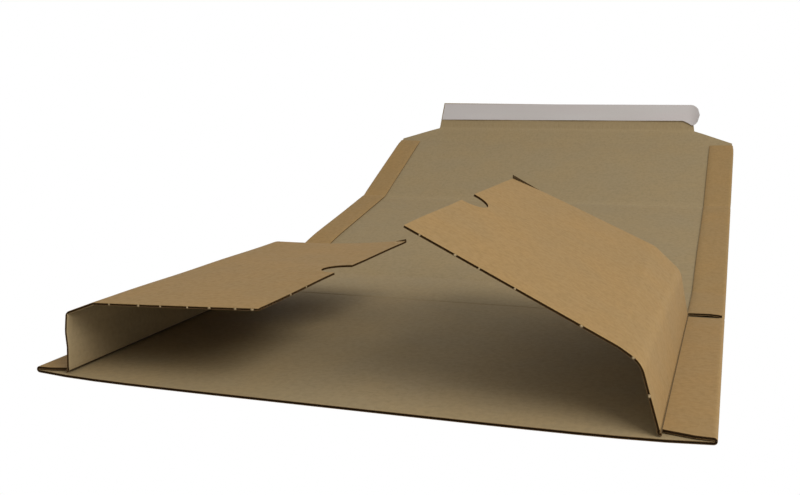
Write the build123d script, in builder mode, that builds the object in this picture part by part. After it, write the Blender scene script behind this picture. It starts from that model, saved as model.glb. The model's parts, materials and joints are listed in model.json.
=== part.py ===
"""A wrap-round record mailer in fine corrugated board, lying open.

One die-cut sheet makes the whole pack. The floor of the pocket has a strip along each side
that is folded back flat over it. A wing rises from the inner edge of each strip and bends over
the goods. A long closing flap, with strips of its own, lies behind the pocket and curls up at
its end, where a tongue carries a band of adhesive under a paper release liner.

Millimetres. X is across the pocket, Y runs from the open front edge towards the closing flap,
and Z is up. The origin is on the underside, at the centre of the pocket floor.
"""

import os
from math import cos, radians, sin, tan

from build123d import *

os.makedirs("parts", exist_ok=True)

# Board
board = 1.6
layer_gap = 0.6
crease_clearance = 0.3

# Pocket floor and the strips folded back over its sides
pocket_width = 330.0
pocket_depth = 240.0
strip_width = 25.0
strip_setback = 4.0
strip_slant_width = 16.0

# Slot that parts the strips of the pocket from those of the closing flap
slot_width = 2.8
slot_edge_margin = 2.0
slot_wing_clearance = 0.3

# Wings. Points are the distance inward from the wing's crease and Z, on the middle of the board
wing_root_setback = 1.4
left_wall_dent = (-0.1, 17.0)
left_wall_bulge = (-2.1, 25.0)
left_shoulder = (-2.5, 36.3)
left_crown = (15.6, 43.1)
left_panel_end = (128.4, 47.2)
left_bend_radii = (16.0, 16.0, 3.0, 6.0)
left_reach_front = 121.0
left_reach_far = 125.4
right_shoulder_front = (13.0, 34.2)
right_crown_front = (22.9, 41.6)
right_free_front = (129.2, 94.8)
right_shoulder_far = (7.1, 35.0)
right_crown_far = (24.9, 51.2)
right_free_far = (125.2, 98.4)
right_bend_radii = (12.0, 14.0)

# Thumb notch in the free edge of each wing
notch_radius = 14.0
notch_forward = 2.0

# Closing flap. Lengths lie along the ground, from the fold line, and rises are angles
flap_flat = 80.0
lift_length = 70.0
lift_rise = 14.4
flap_to_crease = 139.5
flap_rise = 9.85
crease_to_bend = 127.0
end_panel_rise = 22.6
bend_to_strip_end = 2.0
bend_to_tongue = 22.5
tip_panel_rise = 33.6
tongue_rise = 80.0
tongue_length = 30.5
lift_radius = 30.0
sag_radius = 500.0
crease_radius = 12.0
tongue_bend_radius = 6.0

# Outline of the flap's end
taper_length = 19.0
tongue_width = 295.5
tongue_top_width = 286.5

# Closing band on the tongue
liner_width = 19.0
liner_thickness = 0.2
liner_side_margin = 1.0
liner_tab = 9.0
liner_tab_droop = 5.5
adhesive_thickness = 0.3
adhesive_width = 15.0
adhesive_end_margin = 5.0

# Derived places
outer_width = pocket_width + 2 * strip_width
strip_inner = pocket_width / 2
double_edge = 2 * board + layer_gap
fold_x = outer_width / 2 - double_edge / 2
fold_y = pocket_depth / 2
front_y = -pocket_depth / 2
wing_root = strip_inner + wing_root_setback
wing_hinge_z = double_edge + crease_clearance + board / 2
wing_front_y = front_y + strip_setback
wing_far_y = fold_y - slot_width / 2 - slot_wing_clearance
flap_hinge_z = double_edge - slot_width / 2 + crease_clearance
layer_split_z = board + layer_gap / 2
pinch_z = flap_hinge_z - crease_clearance
lift_y = fold_y + flap_flat
sag_y = lift_y + lift_length
sag_z = lift_length * tan(radians(lift_rise))
crease_y = sag_y + flap_to_crease
crease_z = sag_z + flap_to_crease * tan(radians(flap_rise))
bend_y = crease_y + crease_to_bend
bend_z = crease_z + crease_to_bend * tan(radians(end_panel_rise))
strip_end_y = bend_y - bend_to_strip_end
strip_end_z = bend_z - bend_to_strip_end * tan(radians(end_panel_rise))
tongue_y = bend_y + bend_to_tongue
tongue_z = bend_z + bend_to_tongue * tan(radians(tip_panel_rise))
taper_y = tongue_y - taper_length
tongue_cos = cos(radians(tongue_rise))
tongue_sin = sin(radians(tongue_rise))
tongue_top_y = tongue_y + tongue_length * tongue_cos
tongue_top_z = tongue_z + tongue_length * tongue_sin
cut_reach = 4 * double_edge


def double_edge_outline():
    """The board's section across the sheet, with a strip folded back over each side."""
    with BuildLine() as outline:
        Line((0, 0), (fold_x, 0))
        ThreePointArc((fold_x, 0), (outer_width / 2, double_edge / 2), (fold_x, double_edge))
        Polyline(
            (fold_x, double_edge),
            (strip_inner, double_edge),
            (strip_inner, board + layer_gap),
            (fold_x, board + layer_gap),
        )
        ThreePointArc(
            (fold_x, board + layer_gap),
            (fold_x + layer_gap / 2, board + layer_gap / 2),
            (fold_x, board),
        )
        Line((fold_x, board), (0, board))
        mirror(about=Plane.YZ)
    return outline.edges()


def wing_outline(side, bends, radii):
    """A wing's section across the pocket, from its crease over its bends to the end of its panel."""
    root = (side * wing_root, wing_hinge_z)
    with BuildLine() as middle:
        FilletPolyline(root, *[(side * (wing_root - reach), z) for reach, z in bends], radius=radii)
    return middle.wires()[0].offset_2d(board / 2, side=Side.BOTH).edges()


def notch_plane(side, crown, free_edge):
    """The plane of a wing's top panel, centred on its free edge where the notch is."""
    centre = Vector(side * (wing_root - free_edge[0]), -notch_forward, free_edge[1])
    across = Vector(side * (free_edge[0] - crown[0]), 0, crown[1] - free_edge[1])
    return Plane(origin=centre, x_dir=across, z_dir=across.cross(Vector(0, 1, 0)))


# Cutter for the fold line: two slots with rounded ends, and a pinched V beyond each one
with BuildPart() as fold_cutter:
    with BuildSketch(Plane.XY.offset(layer_split_z)):
        with Locations((strip_inner, fold_y), (-strip_inner, fold_y)):
            SlotOverall(2 * (strip_width - slot_edge_margin), slot_width)
    extrude(amount=cut_reach)
    with BuildSketch(Plane.YZ.offset(-outer_width)):
        with BuildLine():
            Polyline(
                (fold_y, pinch_z),
                (fold_y + double_edge, pinch_z + double_edge),
                (fold_y - double_edge, pinch_z + double_edge),
                close=True,
            )
        make_face()
    extrude(amount=2 * outer_width)

# Pocket floor with its two strips, whose front edges slant back to the wings
with BuildPart() as base_panel:
    with BuildSketch(Plane.XZ.offset(-(fold_y - crease_clearance / 2))):
        make_face(double_edge_outline())
    extrude(amount=pocket_depth - crease_clearance / 2)
    with BuildSketch(Plane.XY.offset(layer_split_z)):
        with BuildLine():
            Polyline(
                (strip_inner - board, wing_front_y),
                (strip_inner, wing_front_y),
                (strip_inner + strip_slant_width, front_y),
                (strip_inner - board, front_y),
                close=True,
            )
        make_face()
        mirror(about=Plane.YZ)
    extrude(amount=cut_reach, mode=Mode.SUBTRACT)
    add(fold_cutter.part, mode=Mode.SUBTRACT)
base_panel.part.label = "base_panel"
export_step(base_panel.part, "parts/base_panel.step")

# Left wing, folded over nearly flat, its free edge cut at a slight slant
left_bends = (left_wall_dent, left_wall_bulge, left_shoulder, left_crown, left_panel_end)
left_notch_edge = ((left_reach_front + left_reach_far) / 2, left_panel_end[1])
with BuildPart() as left_wing:
    with BuildSketch(Plane.XZ.offset(-wing_far_y)):
        make_face(wing_outline(-1, left_bends, left_bend_radii))
    extrude(amount=wing_far_y - wing_front_y)
    with BuildSketch(Plane.XY.offset(left_shoulder[1])):
        with BuildLine():
            Polyline(
                (left_reach_front - wing_root, wing_front_y),
                (left_reach_far - wing_root, wing_far_y),
                (left_panel_end[0] + board - wing_root, wing_far_y),
                (left_panel_end[0] + board - wing_root, wing_front_y),
                close=True,
            )
        make_face()
    extrude(amount=cut_reach, mode=Mode.SUBTRACT)
    with BuildSketch(notch_plane(-1, left_crown, left_notch_edge)):
        Circle(notch_radius)
    extrude(amount=cut_reach, both=True, mode=Mode.SUBTRACT)
left_wing.part.label = "left_wing"
export_step(left_wing.part, "parts/left_wing.step")

# Right wing, sprung half open, with its shoulder softer towards the closing flap
right_bends_front = (right_shoulder_front, right_crown_front, right_free_front)
right_bends_far = (right_shoulder_far, right_crown_far, right_free_far)
right_notch_edge = (
    (right_free_front[0] + right_free_far[0]) / 2,
    (right_free_front[1] + right_free_far[1]) / 2,
)
with BuildPart() as right_wing:
    with BuildSketch(Plane.XZ.offset(-wing_front_y)):
        make_face(wing_outline(1, right_bends_front, right_bend_radii))
    with BuildSketch(Plane.XZ.offset(-wing_far_y)):
        make_face(wing_outline(1, right_bends_far, right_bend_radii))
    loft(ruled=True)
    with BuildSketch(notch_plane(1, right_crown_front, right_notch_edge)):
        Circle(notch_radius)
    extrude(amount=cut_reach, both=True, mode=Mode.SUBTRACT)
right_wing.part.label = "right_wing"
export_step(right_wing.part, "parts/right_wing.step")

# Closing flap: the sheet swept along its rise, then cut to its outline. Its folded strips go only
# part of the way, and end straight across before the bend that leads up to the tongue
flap_start = Plane.XZ.offset(-(fold_y + crease_clearance / 2))
flap_stops = (
    (fold_y + crease_clearance / 2, 0),
    (lift_y, 0),
    (sag_y, sag_z),
    (crease_y, crease_z),
    (bend_y, bend_z),
    (tongue_y, tongue_z),
    (tongue_top_y, tongue_top_z),
)
with BuildPart() as closing_flap:
    with BuildLine(Plane.YZ) as strip_rise:
        FilletPolyline(
            *flap_stops[:4], (strip_end_y, strip_end_z), radius=(lift_radius, sag_radius, crease_radius)
        )
    with BuildSketch(flap_start):
        make_face(double_edge_outline())
    sweep(path=strip_rise.wires()[0])
    with BuildLine(Plane.YZ) as rise:
        FilletPolyline(
            *flap_stops,
            radius=(lift_radius, sag_radius, crease_radius, crease_radius, tongue_bend_radius),
        )
    with BuildSketch(flap_start):
        with Locations((0, board / 2)):
            Rectangle(2 * fold_x, board)
    sweep(path=rise.wires()[0])
    for side in (-1, 1):
        with BuildSketch():
            with BuildLine():
                Polyline(
                    (side * fold_x, taper_y),
                    (side * tongue_width / 2, tongue_y),
                    (side * tongue_width / 2, tongue_top_y + cut_reach),
                    (side * outer_width, tongue_top_y + cut_reach),
                    (side * outer_width, taper_y),
                    close=True,
                )
            make_face()
        extrude(amount=tongue_top_z + cut_reach, mode=Mode.SUBTRACT)
        with BuildSketch(Plane.XZ.offset(-(tongue_top_y + cut_reach))):
            with BuildLine():
                Polyline(
                    (side * tongue_width / 2, tongue_z),
                    (side * tongue_top_width / 2, tongue_top_z),
                    (side * tongue_top_width / 2, tongue_top_z + cut_reach),
                    (side * outer_width / 2, tongue_top_z + cut_reach),
                    (side * outer_width / 2, tongue_z),
                    close=True,
                )
            make_face()
        extrude(amount=2 * cut_reach, mode=Mode.SUBTRACT)
    add(fold_cutter.part, mode=Mode.SUBTRACT)
closing_flap.part.label = "closing_flap"
export_step(closing_flap.part, "parts/closing_flap.step")

# Face of the tongue that looks back over the pocket: local Y runs up the tongue
tongue_face = Plane(
    origin=(0, tongue_y, tongue_z), x_dir=(1, 0, 0), z_dir=(0, -tongue_sin, tongue_cos)
).offset(board)
liner_low = tongue_length - liner_width
liner_mid = tongue_length - liner_width / 2
liner_half_top = tongue_top_width / 2 - liner_side_margin
liner_half_low = liner_half_top + (tongue_width - tongue_top_width) / 2 * liner_width / tongue_length

# Band of hot-melt adhesive under the liner
with BuildPart() as adhesive_strip:
    with BuildSketch(tongue_face):
        with Locations((0, liner_mid)):
            Rectangle(2 * (liner_half_top - adhesive_end_margin), adhesive_width)
    extrude(amount=adhesive_thickness)
adhesive_strip.part.label = "adhesive_strip"
export_step(adhesive_strip.part, "parts/adhesive_strip.step")

# Release liner, with a rounded pull tab that droops past the tongue's right-hand end
with BuildPart() as release_liner:
    with BuildSketch(tongue_face.offset(adhesive_thickness)):
        with BuildLine():
            Polyline(
                (liner_half_low - liner_tab, liner_low),
                (-liner_half_low, liner_low),
                (-liner_half_top, tongue_length),
                (liner_half_top, tongue_length),
            )
            ThreePointArc(
                (liner_half_top, tongue_length),
                (liner_half_top + liner_tab, liner_mid - liner_tab_droop / 2),
                (liner_half_low, liner_low - liner_tab_droop),
            )
            Line((liner_half_low, liner_low - liner_tab_droop), (liner_half_low - liner_tab, liner_low))
        make_face()
    extrude(amount=liner_thickness)
release_liner.part.label = "release_liner"
export_step(release_liner.part, "parts/release_liner.step")
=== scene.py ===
"""Looks of an open record mailer: kraft liners over a fine flute, creases and die-cut edges.

Metres, in the model's own frame: X across the pocket, Y towards the closing flap, Z up.
"""

import json
import math

import bpy
import numpy as np
from mathutils import Matrix, Vector


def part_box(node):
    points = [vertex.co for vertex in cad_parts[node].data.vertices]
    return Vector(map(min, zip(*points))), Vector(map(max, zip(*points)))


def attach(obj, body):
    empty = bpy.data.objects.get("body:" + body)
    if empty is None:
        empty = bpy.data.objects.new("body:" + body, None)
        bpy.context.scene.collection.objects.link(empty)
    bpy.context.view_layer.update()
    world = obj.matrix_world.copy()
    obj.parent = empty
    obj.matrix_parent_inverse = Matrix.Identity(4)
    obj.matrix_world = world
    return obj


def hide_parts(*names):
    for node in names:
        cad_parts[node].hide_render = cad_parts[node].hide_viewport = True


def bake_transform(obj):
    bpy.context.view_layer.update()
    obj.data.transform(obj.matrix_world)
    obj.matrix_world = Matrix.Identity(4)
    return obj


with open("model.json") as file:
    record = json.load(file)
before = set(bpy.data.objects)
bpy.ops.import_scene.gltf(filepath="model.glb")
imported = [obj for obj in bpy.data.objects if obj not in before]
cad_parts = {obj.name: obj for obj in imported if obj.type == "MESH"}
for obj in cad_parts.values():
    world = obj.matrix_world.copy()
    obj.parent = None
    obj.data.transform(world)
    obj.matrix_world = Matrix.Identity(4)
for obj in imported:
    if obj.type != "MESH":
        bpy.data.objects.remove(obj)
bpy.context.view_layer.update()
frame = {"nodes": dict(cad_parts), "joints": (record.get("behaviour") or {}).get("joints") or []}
hinges = {joint["name"]: Vector(joint["pos_m"]) for joint in frame["joints"]}
base_low, base_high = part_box("base_panel")

MM = 0.001

# Camera, as calibrated on the photograph's frame
CAMERA_PLACE = (0.1910, -0.5613, 0.1650)
CAMERA_YAW = 19.28
CAMERA_PITCH = 9.71
CAMERA_ROLL = -0.56
CAMERA_LENS = 43.07

# Light
SKY_STRENGTH = 0.42
KEY_PLACE = (1.10, -0.60, 1.20)
KEY_SIZE = (1.3, 1.1)
KEY_POWER = 21.5
KEY_COLOUR = (1.0, 0.985, 0.96)
KEY_TARGET = (0.0, 0.1, 0.0)
FLOOR_HALF = 4.0
FLOOR_DEPTH = -0.05 * MM
FLOOR_COLOUR = (0.86, 0.86, 0.86, 1.0)

# Board
BOARD = 1.6 * MM
LINER = 0.26 * MM
MEDIUM = 0.2 * MM
FLUTE_PITCH = 3.3 * MM
FLUTE_STEPS = 8
FLUTE_HEIGHT = BOARD / 2 - LINER - MEDIUM / 2
MEDIUM_RECESS = 0.5 * MM
SHARP_ANGLE = 40

# Columns of the section across the sheet, and rows along it. Tuples hold distances from an end in millimetres
LOOP_COLUMNS = 9
FLOOR_COLUMNS = 19
STRIP_COLUMNS = (1.0, 3.0, 8.0, 14.0, 18.0)
POCKET_ROW_STEP = 8 * MM
POCKET_END_ROWS = (0.6, 1.6, 3.2, 6.0)
WING_ROW_STEP = 9 * MM
WING_END_ROWS = (0.5, 1.0, 1.5, 2.0, 2.6, 3.4, 4.2, 5.4)
NOTCH_ROWS = 25
NOTCH_CLEARANCE = 1 * MM
CREASE_ROW_STEP = 12 * MM
CREASE_END_ROWS = (0.6, 1.6)
CREASE_STEPS = (3, 4)
CREASE_ARC_STEPS = 9
SLOT_ROWS = (0.0, 0.6, 1.6, 3.2)
STRIP_END_ROWS = (-0.6, 0.0, 0.02)
TAPER_ROWS = (0.0, 6.0, 12.0)
TIP_ROWS = (0.5, 1.2, 3.0)
FOLD_ROWS = 22

# Outline of the pocket floor and its strips
HALF_WIDTH = base_high.x
FRONT_Y = base_low.y
FOLD_Y = hinges["closing_flap_fold"].y
DOUBLE_EDGE = base_high.z
STRIP_INNER = 165 * MM
INNER_STEPS = (1.2 * MM, 0.5 * MM, 0.0)
STRIP_TO_ROOT = 1.5 * MM
LOOP_RADIUS = (DOUBLE_EDGE - BOARD) / 2
LOOP_X = HALF_WIDTH - DOUBLE_EDGE / 2
STRIP_SETBACK = 4 * MM
STRIP_SLANT_WIDTH = 16 * MM
SETBACK_POWER = 8
SLOT_BEFORE = 3.2 * MM
SLOT_AFTER = 4.5 * MM
SLOT_END_X = 188 * MM
SLOT_PRESS = 0.55 * MM
LOOP_PRESS = 0.9 * MM
PRESS_REACH = 7 * MM
LOOP_EASE = 4
CREASE_RADIUS = 0.85

# How far the front edge reaches past the CAD's line, on the floor and at a wing's root
FRONT_LIP = 6.5 * MM
WING_LIP = 5.5 * MM
WING_LIP_CLIMB = 40 * MM
LIP_POWER = 12
LIP_CORNER_POWER = 6

# How far the folded-back strips of the flap settle, and how far the flap's fold line is pressed in
STRIP_FLATTENING = 0.55 * MM
STRIP_END_DROP = (0.3 * MM, 0.8 * MM)
STRIP_TIP_PRESS = 0.6 * MM
SLOT_SPRING = (0.9 * MM, 14 * MM)
FOLD_SINK = 0.22 * MM
FOLD_PINCH = 0.6 * MM
FOLD_LINE = 0.7 * MM

# Share of the board's thickness that is lost. A pair is a share, and the distance over which it fades
FOLD_CRUSH = (0.33, 1.8 * MM)
FOLD_LINE_CRUSH = (0.22, FOLD_LINE)
WING_BEND_CRUSH = 0.28
WING_CREASE_CRUSH = 0.38
WING_END_CRUSH = (0.2, 0.7 * MM)
WING_FREE_CRUSH = (0.12, 0.7 * MM)
FLAP_CREASE_CRUSH = (0.3, 2 * MM)
TONGUE_CRUSH = (0.3, 3 * MM)
TIP_CRUSH = (0.2, 0.7 * MM)
STRIP_END_CRUSH = (0.5, 0.8 * MM)

# Wear of the paper, in the same terms. The last, CREASE_LEG_SHADE, is painted shade on the strip's leg of a
# wing's root crease
LOOP_PAPER_WEAR = 0.12
LOOP_WEAR_SPREAD = 0.7
WING_BEND_WEAR = 0.55
POCKET_END_WEAR = (0.5, 0.8 * MM)
WING_END_WEAR = (0.45, 0.9 * MM)
WING_FREE_WEAR = (0.4, 0.9 * MM)
FLAP_END_WEAR = (0.5, 0.9 * MM)
FLAP_CREASE_WEAR = (0.6, 2.2 * MM)
TONGUE_WEAR = (0.9, 8 * MM)
TONGUE_WEAR_START = 4 * MM
FOLD_WEAR = (0.45, 1.0 * MM)
CREASE_LEG_SHADE = 0.85

# Wings. Control points are X outward and Z, on the middle of the board
WING_FRONT_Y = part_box("left_wing")[0].y
WING_FAR_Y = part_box("left_wing")[1].y
WING_ROOT_Z = hinges["left_wing_fold"].z + 0.1 * MM
LEFT_FRONT = ((166.6, 5.0), (167.2, 17.0), (168.8, 25.8), (168.6, 36.4), (150.8, 43.1), (45.4, 46.9))
LEFT_FAR = ((166.6, 5.0), (167.2, 17.0), (168.8, 25.5), (168.5, 34.6), (150.8, 41.2), (41.0, 47.1))
LEFT_RADII = (16.0, 16.0, 1.5, 6.0)
LEFT_STEPS = (3, 2, 3, 3, 20)
LEFT_FAR_SAG = 1.8 * MM
RIGHT_FRONT = ((163.6, 5.0), (154.2, 35.0), (143.5, 41.8), (37.2, 94.8))
RIGHT_FAR = ((164.6, 5.0), (158.9, 35.0), (141.5, 51.2), (41.2, 98.4))
RIGHT_RADII = (12.0, 14.0)
RIGHT_STEPS = (6, 2, 20)
RIGHT_CORNER_DROOP = 2.6 * MM
RIGHT_DROOP_POWER = 4
COLUMN_CROWDING = 1.6

# Turned-up free corners: height, reach along the far edge and degrees
LEFT_EAR = (2.2 * MM, 13 * MM, 100)
RIGHT_EAR = (3.4 * MM, 25 * MM, 100)
# How far into the turn the ear's painted shade comes to full depth
EAR_SHADE_REACH = 0.5 * MM
NOTCH_RADIUS = 14 * MM
NOTCH_Y = -2 * MM

# Waves of the panels, in radians a metre along and across, with the phase or share of each
WAVE_HEIGHT = 0.45 * MM
WAVE_GROWTH = 60 * MM
SLOW_ALONG, SLOW_ACROSS, SLOW_PHASE = 27, 21, 0.6
QUICK_ALONG, QUICK_ACROSS, QUICK_SHARE = 61, 33, 0.35
FLAP_WAVE_HEIGHT = 0.5 * MM
FLAP_WAVE_GROWTH = 90 * MM
FLAP_WAVE_END = 60 * MM
FLAP_WAVE_ALONG, FLAP_WAVE_ACROSS, FLAP_WAVE_PHASE = 33, 13, 0.5

# Closing flap. Its path is the middle line of the CAD's rise, on the underside of the sheet
FLAP_FLAT = 80.0
LIFT_LENGTH = 70.0
LIFT_RISE = 14.4
FLAP_TO_CREASE = 139.5
FLAP_RISE = 9.85
CREASE_TO_BEND = 127.0
STRIP_END_BEFORE_BEND = 2.0 * MM
END_RISE = 22.6
BEND_TO_TONGUE = 22.5
TIP_RISE = 33.6
TONGUE_RISE = 80.0
TONGUE_LENGTH = 30.5
FLAP_RADII = (30.0, 500.0, 12.0, 12.0, 6.0)
FLAP_STEPS = (10, 8, 16, 14, 5, 6)
FLAP_ARC_STEPS = 9
TAPER_LENGTH = 19 * MM
TONGUE_ROOT_EASE = 0.8 * MM
TONGUE_LEAN_START = 3 * MM
TONGUE_HALF = 147.75 * MM
TONGUE_HALF_TOP = 143.25 * MM
TONGUE_LEAN = 0.06
FLAP_TWIST = 1.4 * MM

# Release liner and its pull tab
LINER_WIDTH = 19 * MM
LINER_SIDE_MARGIN = 1 * MM
TAB_LENGTH = 10.5 * MM
TAB_DROOP = 5.5 * MM
TAB_DROOP_POWER = 1.3
TAB_LIFT = 2.2 * MM
TAB_LIFT_START = 4 * MM
TAB_LIFT_LIMIT = 1.4
TAB_COLUMNS = 15
LINER_PAPER = 0.2 * MM
LINER_COLUMNS = 60
LINER_ROWS = 13
LINER_END_POWER = 12
COCKLE_HEIGHT = 0.35 * MM
COCKLE_WAVES = 55
COCKLE_PHASE = 1
COCKLE_BASE = 1.2
ADHESIVE = 0.3 * MM

# Torn nicks along the cut edges, in millimetres: X on the front edges, Y on the free edge
LEFT_NICKS = (139.8, 120.5, 106.2, 89.0, 75.2, 59.3, 49.0)
LEFT_FREE_NICKS = (-77.4, -57.0)
RIGHT_NICKS = (45.5, 63.8, 76.0, 93.8, 126.1, 150.6, 158.8)
NICK_WIDTH = 1.35 * MM
NICK_DEPTH = 0.35 * MM
NICK_BOARD_SHARE = 0.42
NICK_RINGS = 5
NICK_SPOKES = 8
NICK_SMALLEST = 0.65
NICK_SPREAD = 0.7
NICK_WOBBLE = 0.35
NICK_SEED = 7


def placed(name, data):
    """A new object with its data, linked into the scene."""
    made = bpy.data.objects.new(name, data)
    bpy.context.scene.collection.objects.link(made)
    return made


def linear(red, green, blue):
    """A colour written as it looks on screen, from 0 to 255, as the shader's linear values."""
    shares = [value / 255 for value in (red, green, blue)]
    return tuple(s / 12.92 if s < 0.04045 else ((s + 0.055) / 1.055) ** 2.4 for s in shares) + (1.0,)


KRAFT_OUTER = linear(153, 125, 82)
KRAFT_INNER = linear(152, 134, 101)
# The flutes' colour: the medium's own brown darkened to near black, as painted shade inside the flute
# channels
KRAFT_CORE_AND_SHADE = linear(74, 54, 32)
# The liners' cut edges: their own brown, darkened as painted shade of the flute channels beside them
KRAFT_RIM_AND_SHADE = linear(104, 80, 48)
KRAFT_NICK = linear(160, 140, 106)
PAPER_WHITE = linear(198, 194, 192)
GLUE_AMBER = linear(205, 188, 150)

# Shades of a material's colour, as shares of it
KRAFT_DARKER = 0.80
KRAFT_WARMER = (1.10, 1.03, 0.90)
KRAFT_LIGHTER = 1.16
# Painted shade: the share that creases, slots and turned-up corners darken to
KRAFT_PAINTED_SHADE = 0.2
FIBRE_PALE = 1.5
FIBRE_DARK = 0.6
PAPER_SHADE = 0.90
PAPER_ROSY = (0.99, 0.94, 0.95)
GLUE_DEEP = 0.75

# Noise patterns: scale per metre, detail and roughness, some on stretched coordinates
CLOUDS = (22.0, 4.0, 0.55)
MOTTLING = (330.0, 4.0, 0.6)
FIBRES = (1.0, 2.0, 0.6)
FIBRE_STRETCH = (2600.0, 420.0, 1.0)
STRANDS = (1.0, 3.0, 0.65)
STRAND_STRETCH = (900.0, 120.0, 1.0)
FUZZ = (2600.0, 3.0, 0.65)
GRAIN = (1400.0, 3.0, 0.6)
STAINS = (1.0, 3.0, 0.5)
STAIN_STRETCH = (14.0, 30.0, 60.0)
RIPPLES = (1.0, 3.0, 0.5)
RIPPLE_STRETCH = (60.0, 700.0, 700.0)

# Bands of a pattern's value, from and to, with the mix or roughness at either end unless a paper sets it
CLOUD_BAND = (0.35, 0.65)
MOTTLE_BAND = (0.42, 0.72, 0.0, 0.55)
STRAND_BAND = (0.56, 0.74, 0.0, 0.5)
FIBRE_BAND = (0.60, 0.76)
FLUTE_BAND = (-1.0, 1.0, 0.0, 0.10)
SCUFF_BAND = (0.38, 0.62, 0.35, 1.0)
# Wear below zero mapped to the mix of painted shade
PAINTED_SHADE_BAND = (-1.0, 0.0, 1.0, 0.0)
ROUGHNESS_BAND = (0.3, 0.7, 0.72, 0.9)
FUZZ_BAND = (0.35, 0.68, 0.0, 1.0)
STAIN_BAND = (0.35, 0.65, 0.0, 0.8)
GRAIN_BAND = (0.4, 0.75, 0.0, 0.5)
RIPPLE_BAND = (0.35, 0.7, 0.0, 1.0)

# How much each pattern adds to the relief of its surface
FIBRE_RELIEF = 0.35
MOTTLE_RELIEF = 0.5
FLUTE_RELIEF = 0.09
STAIN_RELIEF = 6.0


# Node materials

def node(tree, kind, inputs=None, **settings):
    """A shader node with its settings, and its inputs set to a value or linked to a socket."""
    made = tree.nodes.new(kind)
    for key, value in settings.items():
        setattr(made, key, value)
    for key, value in (inputs or {}).items():
        if isinstance(value, bpy.types.NodeSocket):
            tree.links.new(value, made.inputs[key])
        else:
            made.inputs[key].default_value = value
    return made


def math_node(tree, operation, first, second=0.0):
    return node(tree, "ShaderNodeMath", {0: first, 1: second}, operation=operation).outputs[0]


def ranged(tree, value, low, high, to_low, to_high):
    """value's stretch from low to high, mapped to another and clamped there."""
    inputs = {"Value": value, "From Min": low, "From Max": high, "To Min": to_low, "To Max": to_high}
    return node(tree, "ShaderNodeMapRange", inputs, clamp=True).outputs[0]


def mixed(tree, factor, first, second, kind="MIX"):
    made = node(tree, "ShaderNodeMix", data_type="RGBA", blend_type=kind)
    for socket, value in zip((made.inputs[0], made.inputs[6], made.inputs[7]), (factor, first, second)):
        if isinstance(value, bpy.types.NodeSocket):
            tree.links.new(value, socket)
        else:
            socket.default_value = value
    return made.outputs[2]


def noise(tree, vector, scale, detail, rough):
    inputs = {"Vector": vector, "Scale": scale, "Detail": detail, "Roughness": rough}
    return node(tree, "ShaderNodeTexNoise", inputs).outputs[0]


def scaled(tree, vector, scale):
    return node(tree, "ShaderNodeMapping", {"Vector": vector, "Scale": scale}).outputs[0]


def shaded(colour, shares):
    """A colour with its channels scaled, by one share or by three, up to full brightness."""
    if isinstance(shares, float):
        shares = (shares,) * 3
    return tuple(min(1.0, channel * share) for channel, share in zip(colour, shares)) + (1.0,)


def empty_material(name, roughness, specular):
    material = bpy.data.materials.new(name)
    material.use_nodes = True
    shader = material.node_tree.nodes["Principled BSDF"]
    shader.inputs["Roughness"].default_value = roughness
    shader.inputs["Specular IOR Level"].default_value = specular
    return material, material.node_tree, shader


def add_relief(tree, shader, height, strength, distance):
    bump = node(tree, "ShaderNodeBump", {"Height": height, "Strength": strength, "Distance": distance})
    tree.links.new(bump.outputs[0], shader.inputs["Normal"])


def kraft(name, colour, cloudiness, speckle):
    """Kraft paper over flutes: clouds, mottling, fibres, faint flute bands, worn creases, and painted shade
    in the wings' root creases, the slots and the turned-up corners.
    """
    material, tree, shader = empty_material(name, roughness=0.8, specular=0.22)
    flat = node(tree, "ShaderNodeAttribute", attribute_name="sheet").outputs["Vector"]
    worn_and_shaded = node(tree, "ShaderNodeAttribute", attribute_name="wear_and_shade").outputs["Fac"]
    cloud = noise(tree, flat, *CLOUDS)
    mottle = noise(tree, flat, *MOTTLING)
    fibre = noise(tree, scaled(tree, flat, FIBRE_STRETCH), *FIBRES)
    strand = noise(tree, scaled(tree, flat, STRAND_STRETCH), *STRANDS)
    along = node(tree, "ShaderNodeSeparateXYZ", {0: flat}).outputs[1]
    flute = math_node(tree, "SINE", math_node(tree, "MULTIPLY", along, 2 * math.pi / FLUTE_PITCH))

    darker = shaded(colour, KRAFT_DARKER)
    lighter = shaded(colour, KRAFT_LIGHTER)
    warmer = shaded(colour, KRAFT_WARMER)
    tone = mixed(tree, ranged(tree, cloud, *CLOUD_BAND, 0.0, cloudiness), colour, warmer)
    tone = mixed(tree, ranged(tree, mottle, *MOTTLE_BAND), tone, darker)
    tone = mixed(tree, ranged(tree, strand, *STRAND_BAND), tone, lighter)
    tone = mixed(tree, ranged(tree, fibre, *FIBRE_BAND, 0.0, speckle), tone, darker)
    tone = mixed(tree, ranged(tree, flute, *FLUTE_BAND), tone, darker)
    scuff = math_node(tree, "MULTIPLY", worn_and_shaded, ranged(tree, strand, *SCUFF_BAND))
    tone = mixed(tree, scuff, tone, lighter)
    # Painted shade where the attribute read above is below zero: the wings' root creases, the slots and the
    # turned-up corners
    painted_shade = shaded(colour, KRAFT_PAINTED_SHADE)
    tone = mixed(tree, ranged(tree, worn_and_shaded, *PAINTED_SHADE_BAND), tone, painted_shade)
    tree.links.new(tone, shader.inputs["Base Color"])
    tree.links.new(ranged(tree, mottle, *ROUGHNESS_BAND), shader.inputs["Roughness"])

    height = math_node(tree, "MULTIPLY", fibre, FIBRE_RELIEF)
    height = math_node(tree, "ADD", height, math_node(tree, "MULTIPLY", mottle, MOTTLE_RELIEF))
    height = math_node(tree, "ADD", height, math_node(tree, "MULTIPLY", flute, FLUTE_RELIEF))
    add_relief(tree, shader, height, strength=0.5, distance=0.09 * MM)
    return material


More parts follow.
